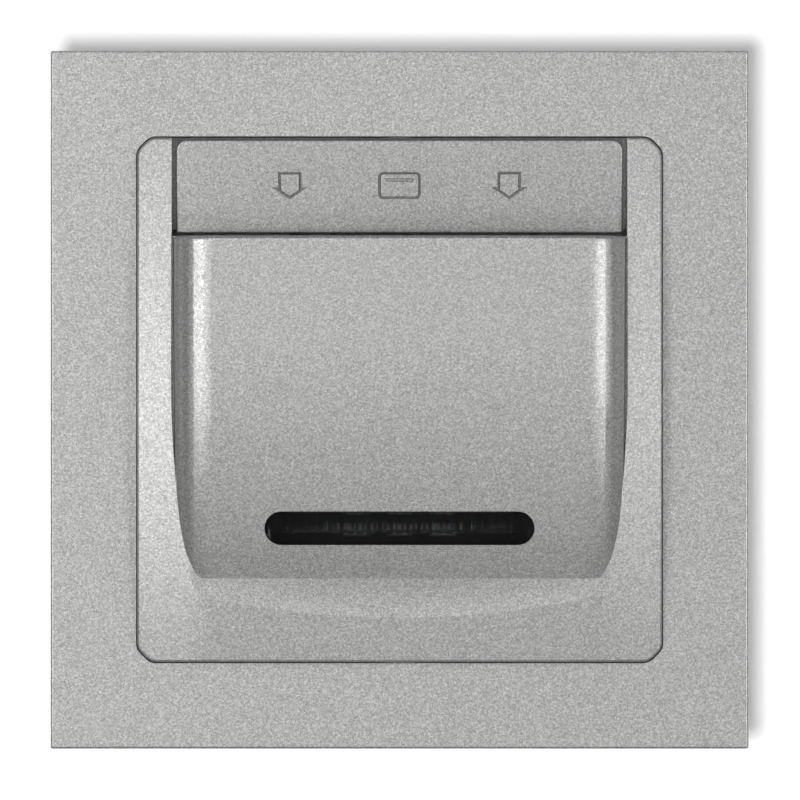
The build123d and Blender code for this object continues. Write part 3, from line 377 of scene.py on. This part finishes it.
def resistor_lacquer(name):
    """Pale blue lacquer with dark rings round the body."""
    material, tree, shader = new_material(name)
    vector = object_coordinates(tree)
    parts = tree.nodes.new("ShaderNodeSeparateXYZ")
    link(tree, vector, parts.inputs["Vector"])
    rings = calculate(tree, "PINGPONG", parts.outputs["X"], RESISTOR_RING)
    ramp = tree.nodes.new("ShaderNodeValToRGB")
    ramp.color_ramp.interpolation = "CONSTANT"
    ramp.color_ramp.elements[0].color = (0.25, 0.05, 0.02, 1)
    ramp.color_ramp.elements[1].position = RESISTOR_RING_SHARE
    ramp.color_ramp.elements[1].color = (0.35, 0.5, 0.6, 1)
    link(tree, spread(tree, rings, low=0, high=1, start=0, stop=RESISTOR_RING), ramp.inputs["Fac"])
    link(tree, ramp.outputs["Color"], shader.inputs["Base Color"])
    sheen = noise(tree, vector, SMALL_SHEEN_PATCH)
    link(tree, spread(tree, sheen, low=0.2, high=0.3), shader.inputs["Roughness"])
    return material


def make_materials():
    """Finishes by name, with colours, roughness and depths of grain."""
    along_x, along_y, along_z = (DRAWN_STRETCH, 1, 1), (1, DRAWN_STRETCH, 1), (1, 1, DRAWN_STRETCH)
    smoke, smoke_shade = (0.4, 0.4, 0.41), (0.5, 0.5, 0.5)
    water_clear, clear_shade = (0.86, 0.88, 0.9), (0.8, 0.8, 0.8)
    return {
        "silver_paint": silver_paint("silver_paint", PAINT_SHADE),
        # The header's paint is a slightly darker copy of the same paint: painted shade
        "silver_paint_header": silver_paint("silver_paint_header", HEADER_PAINTED_SHADE),
        # Sign grooves get a darker copy of the paint: painted shade in the grooves
        "sign_groove_painted_shade": silver_paint("sign_groove_painted_shade", GROOVE_PAINTED_SHADE),
        "smoked_lens": clear_moulding("smoked_lens", smoke, 0.02, smoke_shade, SMOKED_BENDING),
        "clear_plastic": clear_moulding("clear_plastic", water_clear, 0.05, clear_shade, CLEAR_BENDING),
        "led_resin": led_resin("led_resin"),
        "black_plastic": moulded_plastic("black_plastic", (0.022, 0.022, 0.023), 0.5, 0.01 * MM),
        "grey_plastic": moulded_plastic("grey_plastic", (0.33, 0.34, 0.35), 0.48, 0.008 * MM),
        "white_plastic": moulded_plastic("white_plastic", (0.78, 0.77, 0.73), 0.4, 0.004 * MM),
        "red_plastic": moulded_plastic("red_plastic", (0.5, 0.04, 0.03), 0.3, 0.003 * MM),
        "zinc_steel": worked_metal("zinc_steel", (0.6, 0.61, 0.62), 0.3, along_x),
        "spring_steel": worked_metal("spring_steel", (0.45, 0.45, 0.46), 0.25, along_z),
        "copper_alloy": worked_metal("copper_alloy", (0.72, 0.42, 0.26), 0.28, along_z),
        "brass": worked_metal("brass", (0.72, 0.55, 0.27), 0.3, along_y),
        "board_green": circuit_board("board_green"),
        "resistor_body": resistor_lacquer("resistor_body"),
    }


def paint_nodes(materials):
    """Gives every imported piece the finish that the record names."""
    for part in frame["record"]["subparts"]:
        mesh = nodes[part["node"]].data
        mesh.materials.clear()
        mesh.materials.append(materials[part["material_slot"]])


def new_object(name, data):
    """Object at the origin, in the scene's own collection."""
    piece = bpy.data.objects.new(name, data)
    bpy.context.scene.collection.objects.link(piece)
    return piece


def merged_copy(node, name):
    """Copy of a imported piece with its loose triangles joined."""
    mesh = nodes[node].data.copy()
    mesh.name = name
    work = bmesh.new()
    work.from_mesh(mesh)
    bmesh.ops.remove_doubles(work, verts=work.verts, dist=SAME_PLACE)
    work.to_mesh(mesh)
    work.free()
    return new_object(name, mesh)


def take_mesh(piece):
    """The piece's evaluated mesh, with its modifiers applied and removed."""
    bpy.context.view_layer.update()
    graph = bpy.context.evaluated_depsgraph_get()
    mesh = bpy.data.meshes.new_from_object(piece.evaluated_get(graph))
    piece.modifiers.clear()
    piece.data = mesh
    return mesh


def soft_corners(mesh, angle):
    mesh.shade_smooth()
    mesh.set_sharp_from_angle(angle=radians(angle))


def arrow_outline(side):
    """Plain arrow that points down: short stem, shoulders and tip."""
    x = side * ARROW_X
    right = [(ARROW_STEM_HALF, SIGN_TOP), (ARROW_STEM_HALF, ARROW_SHOULDER)]
    right.append((ARROW_HEAD_HALF, ARROW_SHOULDER))
    left = [(-across, z) for across, z in reversed(right)]
    return [(x + across, z) for across, z in right + [(0, SIGN_FOOT)] + left]


def card_outline():
    """Plain card lying on its long side, with round corners."""
    points = []
    corners = [(1, 1, 0), (-1, 1, 90), (-1, -1, 180), (1, -1, 270)]
    middle, half = (SIGN_TOP + SIGN_FOOT) / 2, (SIGN_TOP - SIGN_FOOT) / 2
    for across, up, start in corners:
        x = across * (CARD_SIGN_HALF - CARD_SIGN_CORNER)
        z = middle + up * (half - CARD_SIGN_CORNER)
        for step in range(CARD_CORNER_STEPS + 1):
            angle = radians(start + 90 * step / CARD_CORNER_STEPS)
            points.append((x + CARD_SIGN_CORNER * cos(angle), z + CARD_SIGN_CORNER * sin(angle)))
    return points


def stripe_outline():
    """Narrow bar across the card, as its stripe."""
    long, wide = STRIPE_HALF_LENGTH, STRIPE_HALF_WIDTH
    corners = [(long, wide), (-long, wide), (-long, -wide), (long, -wide)]
    return [(x, CARD_STRIPE_Z + z) for x, z in corners]


def moved_out(points, offset):
    """Outline that runs anticlockwise, moved out evenly with its corners kept."""
    moved = []
    for index, here in enumerate(points):
        here = Vector(here)
        before, after = Vector(points[index - 1]), Vector(points[(index + 1) % len(points)])
        first, second = (here - before).normalized(), (after - here).normalized()
        first, second = Vector((first.y, -first.x)), Vector((second.y, -second.x))
        moved.append(here + offset * (first + second) / (1 + first.dot(second)))
    return moved


def groove(surface, points, shares, paint, name):
    """Solid ring along an outline on the plate, in the shape of the groove that it cuts."""
    twice_area = sum(a[0] * b[1] - b[0] * a[1] for a, b in zip(points, points[1:] + points[:1]))
    if twice_area < 0:
        points = points[::-1]
    shape = bmesh.new()
    loops = []
    for outward_share, height_share in shares:
        loop = []
        for x, z in moved_out(points, outward_share * GROOVE_DEPTH):
            place, facing = surface.ray_cast(Vector((x, -1, z)), Vector((0, 1, 0)))[:2]
            loop.append(shape.verts.new(place + height_share * GROOVE_DEPTH * facing))
        loops.append(loop)
    for loop, following in zip(loops, loops[1:] + loops[:1]):
        for index in range(len(loop)):
            shape.faces.new((loop[index - 1], loop[index], following[index], following[index - 1]))
    bmesh.ops.recalc_face_normals(shape, faces=shape.faces)
    mesh = bpy.data.meshes.new(name)
    shape.to_mesh(mesh)
    mesh.materials.append(paint)
    shape.free()
    return new_object(name, mesh)


def cut_away(plate, cutter):
    """Takes the cutter out of the plate and leaves the cutter's paint, a darker painted shade, on the
    new faces.
    """
    cut = plate.modifiers.new("cut", "BOOLEAN")
    cut.operation = "DIFFERENCE"
    cut.solver = "EXACT"
    cut.material_mode = "TRANSFER"
    cut.object = cutter
    take_mesh(plate)
    bpy.data.objects.remove(cutter)


def surface_normals(mesh, plain, surface):
    """Keeps the smooth shading of a plain mesh on the faces of a cut one that still lie on it."""
    normals = [(0, 0, 0)] * len(mesh.loops)
    for face in mesh.polygons:
        facing, index, distance = surface.find_nearest(face.center)[1:]
        if distance > SAME_PLACE or facing.dot(face.normal) < SAME_FACING:
            continue
        source = plain.polygons[index]
        corners = [plain.vertices[vertex].co for vertex in source.vertices]
        tips = [plain.corner_normals[loop].vector for loop in source.loop_indices]
        for loop in face.loop_indices:
            spot = mesh.vertices[mesh.loops[loop].vertex_index].co
            normals[loop] = barycentric_transform(spot, *corners, *tips).normalized()
    mesh.normals_split_custom_set(normals)


def engraved_header(materials):
    """Header plate with two arrows and a plain card sign cut into its face."""
    plate = merged_copy("header_plate", "header_plate_signs")
    plate.data.materials.clear()
    # Slightly darker copy of the silver paint: painted shade on the header plate
    plate.data.materials.append(materials["silver_paint_header"])
    plain = plate.data.copy()
    soft_corners(plain, PLATE_SHARP_ANGLE)
    spots = [vert.co for vert in plain.vertices]
    surface = BVHTree.FromPolygons(spots, [face.vertices for face in plain.polygons])
    signs = [
        (arrow_outline(-1), WIDE_GROOVE_SHARES),
        (arrow_outline(1), WIDE_GROOVE_SHARES),
        (card_outline(), WIDE_GROOVE_SHARES),
        (stripe_outline(), FINE_GROOVE_SHARES),
    ]
    for index, (points, shares) in enumerate(signs):
        name = f"sign_line_{index}"
        # The groove walls carry the darker groove paint, painted shade in the grooves
        cut_away(plate, groove(surface, points, shares, materials["sign_groove_painted_shade"], name))
    soft_corners(plate.data, SIGN_SHARP_ANGLE)
    surface_normals(plate.data, plain, surface)
    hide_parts("header_plate")
    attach(plate, "root")


def new_tree(name, sizes):
    """Geometry tree with a mesh in and out, a material and named sizes."""
    tree = bpy.data.node_groups.new(name, "GeometryNodeTree")
    tree.interface.new_socket("Geometry", in_out="INPUT", socket_type="NodeSocketGeometry")
    tree.interface.new_socket("Material", in_out="INPUT", socket_type="NodeSocketMaterial")
    for size in sizes:
        tree.interface.new_socket(size, in_out="INPUT", socket_type="NodeSocketFloat")
    tree.interface.new_socket("Geometry", in_out="OUTPUT", socket_type="NodeSocketGeometry")
    return tree, tree.nodes.new("NodeGroupInput"), tree.nodes.new("NodeGroupOutput")


def lifted(tree, geometry, height, turn=0):
    """Geometry moved along its axis and turned about it."""
    node = tree.nodes.new("GeometryNodeTransform")
    place = tree.nodes.new("ShaderNodeCombineXYZ")
    link(tree, height, place.inputs["Z"])
    link(tree, place.outputs["Vector"], node.inputs["Translation"])
    node.inputs["Rotation"].default_value = (0, 0, turn)
    link(tree, geometry, node.inputs["Geometry"])
    return node.outputs["Geometry"]


def turned_solid(tree, top, foot, height):
    """Cone or cylinder that stands on its own foot."""
    node = tree.nodes.new("GeometryNodeMeshCone")
    node.inputs["Vertices"].default_value = SCREW_SIDES
    link(tree, top, node.inputs["Radius Top"])
    link(tree, foot, node.inputs["Radius Bottom"])
    link(tree, height, node.inputs["Depth"])
    return node.outputs["Mesh"]


def mesh_boolean(tree, operation):
    node = tree.nodes.new("GeometryNodeMeshBoolean")
    node.operation = operation
    node.solver = "EXACT"
    return node


def screw_head(tree, radius, height, slot_width):
    """Head with an upright rim, a sloping crown and two crossed slots."""
    rim_height = times(tree, height, RIM_HEIGHT_SHARE)
    crown_height = less(tree, height, rim_height)
    crown_radius = times(tree, radius, CROWN_RADIUS_SHARE)
    rim = turned_solid(tree, radius, radius, rim_height)
    crown = lifted(tree, turned_solid(tree, crown_radius, radius, crown_height), rim_height)
    head = mesh_boolean(tree, "UNION")
    link(tree, rim, head.inputs["Mesh 2"])
    link(tree, crown, head.inputs["Mesh 2"])
    slots = tree.nodes.new("GeometryNodeJoinGeometry")
    for turn in (0, pi / 2):
        bar = tree.nodes.new("GeometryNodeMeshCube")
        size = tree.nodes.new("ShaderNodeCombineXYZ")
        link(tree, times(tree, radius, SLOT_LENGTH_SHARE), size.inputs["X"])
        link(tree, slot_width, size.inputs["Y"])
        link(tree, times(tree, height, 2 * SLOT_DEPTH_SHARE), size.inputs["Z"])
        link(tree, size.outputs["Vector"], bar.inputs["Size"])
        link(tree, lifted(tree, bar.outputs["Mesh"], height, turn), slots.inputs["Geometry"])
    cut = mesh_boolean(tree, "DIFFERENCE")
    link(tree, head.outputs["Mesh"], cut.inputs["Mesh 1"])
    link(tree, slots.outputs["Geometry"], cut.inputs["Mesh 2"])
    return cut.outputs["Mesh"]


def screw_shaft(tree, radius, length, pitch):
    """Core of the shaft and the ridge of its thread, below the head's seat."""
    core_radius = less(tree, radius, times(tree, pitch, THREAD_DEPTH_SHARE))
    core = turned_solid(tree, core_radius, core_radius, length)
    core = lifted(tree, core, times(tree, length, -1))
    run = less(tree, length, pitch)
    helix = tree.nodes.new("GeometryNodeCurveSpiral")
    helix.inputs["Resolution"].default_value = HELIX_STEPS
    link(tree, calculate(tree, "DIVIDE", run, pitch), helix.inputs["Rotations"])
    link(tree, core_radius, helix.inputs["Start Radius"])
    link(tree, core_radius, helix.inputs["End Radius"])
    link(tree, run, helix.inputs["Height"])
    ridge = tree.nodes.new("GeometryNodeCurvePrimitiveCircle")
    ridge.inputs["Resolution"].default_value = 4
    link(tree, times(tree, pitch, THREAD_HALF_SHARE), ridge.inputs["Radius"])
    thread = tree.nodes.new("GeometryNodeCurveToMesh")
    thread.inputs["Fill Caps"].default_value = True
    link(tree, helix.outputs["Curve"], thread.inputs["Curve"])
    link(tree, ridge.outputs["Curve"], thread.inputs["Profile Curve"])
    start = less(tree, times(tree, pitch, THREAD_START_SHARE), length)
    return core, lifted(tree, thread.outputs["Mesh"], start)


def on_points(tree, points, shape):
    """A copy of the shape on every point, its axis along the point's aim."""
    aimed = tree.nodes.new("GeometryNodeInputNamedAttribute")
    aimed.data_type = "FLOAT_VECTOR"
    aimed.inputs["Name"].default_value = "aim"
    turn = tree.nodes.new("FunctionNodeAlignRotationToVector")
    turn.axis = "Z"
    link(tree, aimed.outputs["Attribute"], turn.inputs["Vector"])
    spots = tree.nodes.new("GeometryNodeInstanceOnPoints")
    link(tree, points, spots.inputs["Points"])
    link(tree, shape, spots.inputs["Instance"])
    link(tree, turn.outputs["Rotation"], spots.inputs["Rotation"])
    return spots.outputs["Instances"]


def screw_tree():
    """Cross-slotted screw on every point, its head towards the point's aim, with a raised thread."""
    sizes = ["Head Radius", "Head Height", "Shaft Radius", "Shaft Length", "Pitch", "Slot Width"]
    tree, given, result = new_tree("screw", sizes)
    head_radius, head_height, shaft_radius, shaft_length, pitch, slot_width = [
        given.outputs[size] for size in sizes
    ]
    head = screw_head(tree, head_radius, head_height, slot_width)
    core, thread = screw_shaft(tree, shaft_radius, shaft_length, pitch)
    screw = tree.nodes.new("GeometryNodeJoinGeometry")
    for piece in (head, core, thread):
        link(tree, piece, screw.inputs["Geometry"])
    real = tree.nodes.new("GeometryNodeRealizeInstances")
    screws = on_points(tree, given.outputs["Geometry"], screw.outputs["Geometry"])
    link(tree, screws, real.inputs["Geometry"])
    finish = tree.nodes.new("GeometryNodeSetMaterial")
    link(tree, real.outputs["Geometry"], finish.inputs["Geometry"])
    link(tree, given.outputs["Material"], finish.inputs["Material"])
    link(tree, finish.outputs["Geometry"], result.inputs["Geometry"])
    return tree


def loose_solids(node):
    """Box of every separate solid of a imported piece."""
    work = bmesh.new()
    work.from_mesh(nodes[node].data)
    bmesh.ops.remove_doubles(work, verts=work.verts, dist=SAME_PLACE)
    boxes, left = [], set(work.verts)
    while left:
        group, rim = set(), [left.pop()]
        while rim:
            vert = rim.pop()
            group.add(vert)
            for edge in vert.link_edges:
                other = edge.other_vert(vert)
                if other in left:
                    left.discard(other)
                    rim.append(other)
        low = Vector([min(vert.co[axis] for vert in group) for axis in range(3)])
        high = Vector([max(vert.co[axis] for vert in group) for axis in range(3)])
        boxes.append((low, high))
    work.free()
    return sorted(boxes, key=lambda box: tuple(box[0]))


def to_front(middle):
    """Heads look out of the wall."""
    return Vector((0, -1, 0))


def to_ends(middle):
    """Heads look up in the upper half and down in the lower one."""
    return Vector((0, 0, 1 if middle.z > 0 else -1))


def dressed_screws(tree, materials, node, body, toward, head_height, shaft_radius, slot_width):
    """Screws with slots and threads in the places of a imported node's plain ones."""
    seats, aims = [], []
    for low, high in loose_solids(node):
        middle = (low + high) / 2
        aim_vector = toward(middle)
        axis = max(range(3), key=lambda index: abs(aim_vector[index]))
        top = high[axis] if aim_vector[axis] > 0 else low[axis]
        seat = middle.copy()
        seat[axis] = top - aim_vector[axis] * head_height
        seats.append(seat)
        aims.append(aim_vector)
    size = high - low
    mesh = bpy.data.meshes.new(node + "_dressed")
    mesh.from_pydata(seats, [], [])
    held = mesh.attributes.new("aim", "FLOAT_VECTOR", "POINT")
    held.data.foreach_set("vector", [value for vector in aims for value in vector])
    piece = new_object(node + "_dressed", mesh)
    modifier = piece.modifiers.new("screw", "NODES")
    modifier.node_group = tree
    values = {
        "Material": materials["zinc_steel"],
        "Head Radius": size[axis - 1] / 2,
        "Head Height": head_height,
        "Shaft Radius": shaft_radius,
        "Shaft Length": size[axis] - head_height,
        "Pitch": THREAD_PITCH,
        "Slot Width": slot_width,
    }
    for socket in tree.interface.items_tree:
        if socket.in_out == "INPUT" and socket.name in values:
            modifier[socket.identifier] = values[socket.name]
    soft_corners(take_mesh(piece), SCREW_SHARP_ANGLE)
    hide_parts(node)
    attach(piece, body)


def dress_screws(materials):
    """All screws, with the body they ride on, head height, shaft radius and slot width."""
    tree = screw_tree()
    screws = [
        ("body_screws", "root", to_front, 1.0 * MM, 1.04 * MM, 0.5 * MM),
        ("lid_screws", "root", to_front, 0.9 * MM, 0.84 * MM, 0.45 * MM),
        ("terminal_screws", "root", to_ends, 1.6 * MM, 1.4 * MM, 0.7 * MM),
        ("claw_screw_left", "screw_left", to_front, 1.9 * MM, 1.6 * MM, 0.8 * MM),
        ("claw_screw_right", "screw_right", to_front, 1.9 * MM, 1.6 * MM, 0.8 * MM),
    ]
    for screw in screws:
        dressed_screws(tree, materials, *screw)


def aim(lamp, place, target):
    lamp.location = place
    lamp.rotation_euler = (target - place).to_track_quat("-Z", "Y").to_euler()


def softbox(name, azimuth, elevation, brightness):
    """Square lamp at an angle to the object's front, aimed at the object."""
    data = bpy.data.lights.new(name, "AREA")
    data.size = SOFTBOX_SIZE
    data.energy = 4 * SOFTBOX_SIZE**2 * brightness
    lamp = new_object(name, data)
    azimuth, elevation = radians(azimuth), radians(elevation)
    toward = Vector((cos(elevation) * sin(azimuth), -cos(elevation) * cos(azimuth), sin(elevation)))
    aim(lamp, SOFTBOX_DISTANCE * toward, Vector((0, 0, 0)))
    lamp.visible_camera = False
    return lamp


def make_camera():
    """Camera straight in front of the frame, as far off as the view's width asks."""
    data = bpy.data.cameras.new("camera")
    data.lens = CAMERA_LENS
    data.sensor_width = CAMERA_SENSOR
    data.clip_start, data.clip_end = CAMERA_CLIP
    camera = new_object("camera", data)
    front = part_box("outer_frame")[0].y
    distance = VIEW_WIDTH * CAMERA_LENS / CAMERA_SENSOR
    camera.location = (VIEW_CENTRE_X, front - distance, VIEW_CENTRE_Z)
    camera.rotation_euler = (radians(90), 0, 0)
    bpy.context.scene.camera = camera
    return camera


def sheet(name, corners, material):
    """Flat sheet of the stage, through four corners."""
    mesh = bpy.data.meshes.new(name)
    mesh.from_pydata(corners, [], [(0, 1, 2, 3)])
    mesh.materials.append(material)
    panel = new_object(name, mesh)
    return panel


def paper(name):
    """Pale paper seen only from its front, with a little light of its own for the camera."""
    material, tree, shader = new_material(name)
    fibre = spread(tree, noise(tree, object_coordinates(tree), PAPER_FIBRE), low=0.995, high=1.005)
    link(tree, tint(tree, (PAPER_TONE, PAPER_TONE, PAPER_TONE), fibre), shader.inputs["Base Color"])
    shader.inputs["Roughness"].default_value = 1.0
    shader.inputs["Specular IOR Level"].default_value = 0.0
    shader.inputs["Emission Color"].default_value = (1, 1, 1, 1)
    seen = tree.nodes.new("ShaderNodeLightPath").outputs["Is Camera Ray"]
    link(tree, times(tree, seen, BACKDROP_SHADE), shader.inputs["Emission Strength"])
    clear = tree.nodes.new("ShaderNodeBsdfTransparent")
    back = tree.nodes.new("ShaderNodeNewGeometry").outputs["Backfacing"]
    two_shaders(tree, back, shader.outputs["BSDF"], clear.outputs["BSDF"], "Material Output")
    return material


def make_stage():
    """Backdrop far behind the object and a floor well below it."""
    half, far, low = FLOOR_HALF, BACKDROP_DISTANCE, FLOOR_Z
    wall = [(-half, far, low), (half, far, low), (half, far, half), (-half, far, half)]
    ground = [(-half, FLOOR_FRONT, low), (half, FLOOR_FRONT, low), (half, far, low), (-half, far, low)]
    backdrop = sheet("backdrop", wall, paper("backdrop_paper"))
    sheet("floor", ground, paper("floor_paper"))
    return backdrop


def light_only(lamp, pieces, state):
    """Lets a lamp reach only some pieces, or all but them."""
    group = bpy.data.collections.new(lamp.name + "_reach")
    lamp.light_linking.receiver_collection = group
    for piece in pieces:
        group.objects.link(piece)
    for member in group.collection_objects:
        member.light_linking.link_state = state


def backdrop_lamp(camera):
    """Small lamp beside the camera that throws the object's soft edge shadow on the backdrop."""
    data = bpy.data.lights.new("backdrop_lamp", "AREA")
    data.shape = "DISK"
    data.size = 2 * BACKDROP_LAMP_RADIUS
    data.energy = pi * data.size**2 * BACKDROP_BRIGHTNESS
    lamp = new_object("backdrop_lamp", data)
    place = camera.location + Vector((-BACKDROP_LAMP_ASIDE, 0, -BACKDROP_LAMP_ASIDE))
    aim(lamp, place, place + Vector((0, 1, 0)))
    lamp.visible_camera = False
    return lamp


def make_studio(camera):
    """Stage, lamps and room; the low lamp spares the smoked window, which would mirror it."""
    backdrop = make_stage()
    light_only(backdrop_lamp(camera), [backdrop], "INCLUDE")
    for name, (azimuth, elevation, brightness) in SOFTBOXES.items():
        spared = [backdrop, nodes["window_lens"]] if elevation < 0 else [backdrop]
        light_only(softbox(name, azimuth, elevation, brightness), spared, "EXCLUDE")
    make_room()


def make_room():
    """World: white where the camera looks at it, a dim room on the front side, a pale wall behind."""
    world = bpy.data.worlds.new("room")
    bpy.context.scene.world = world
    world.use_nodes = True
    tree = world.node_tree
    lit = tree.nodes["Background"]
    lit.inputs["Color"].default_value = (1, 1, 1, 1)
    place = tree.nodes.new("ShaderNodeTexCoord")
    parts = tree.nodes.new("ShaderNodeSeparateXYZ")
    link(tree, place.outputs["Generated"], parts.inputs["Vector"])
    brightness = spread(tree, parts.outputs["Y"], ROOM_BRIGHTNESS, WALL_BRIGHTNESS, *ROOM_EDGE)
    link(tree, brightness, lit.inputs["Strength"])
    white = tree.nodes.new("ShaderNodeBackground")
    white.inputs["Color"].default_value = (1, 1, 1, 1)
    seen = tree.nodes.new("ShaderNodeLightPath").outputs["Is Camera Ray"]
    two_shaders(tree, seen, lit.outputs["Background"], white.outputs["Background"], "World Output")


bpy.context.scene.view_settings.view_transform = "Standard"
materials = make_materials()
paint_nodes(materials)
engraved_header(materials)
dress_screws(materials)
make_studio(make_camera())
